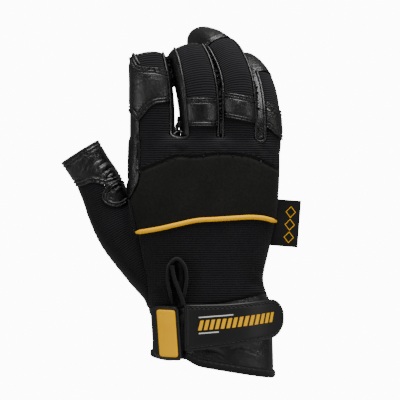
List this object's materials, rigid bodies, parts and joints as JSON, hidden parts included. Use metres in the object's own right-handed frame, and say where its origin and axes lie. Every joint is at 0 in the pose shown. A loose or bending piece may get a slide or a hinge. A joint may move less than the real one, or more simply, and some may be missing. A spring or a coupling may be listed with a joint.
{
  "type": "framer glove",
  "caption": "Right-hand work glove with a leather palm, ribbed knit back, open thumb, index and middle tips and a wrist strap.",
  "frame": {"origin": "the middle of the wrist opening, halfway between the low and the high side of the slanted hem", "axes": "+Z from the wrist towards the fingertips, -Y out of the back of the hand, -X towards the thumb"},
  "size_m": [0.1558, 0.0762, 0.2303],
  "materials": {
    "black_leather": "soft full-grain goatskin with a low sheen",
    "ribbed_knit": "ribbed elastic knit, matt",
    "smooth_cloth": "close-woven cloth over foam, matt",
    "yellow_piping": "covered cord",
    "yellow_rubber": "moulded, matt",
    "black_rubber": "moulded, matt",
    "black_tape": "woven tape"
  },
  "bodies": {
    "root": {"palm_leather": "black_leather", "back_knit_upper": "ribbed_knit", "back_panel": "smooth_cloth", "back_knit_lower": "ribbed_knit", "piping": "yellow_piping", "thumb_knit": "ribbed_knit", "thumb_leather": "black_leather", "thumb_patch": "black_leather", "index_sheath": "black_leather", "middle_sheath": "black_leather", "ring_sheath": "black_leather", "pinky_sheath": "black_leather", "ring_cap": "black_leather", "pinky_cap": "black_leather", "index_patch": "black_leather", "middle_band": "black_leather", "ring_band": "black_leather", "pinky_band": "black_leather", "cuff_leather": "black_leather", "cuff_binding": "black_tape", "wrist_strap": "black_rubber", "tab_plate": "black_rubber", "id_tab": "yellow_rubber", "hang_loop": "black_tape", "side_label": "black_tape"}
  },
  "joints": []
}
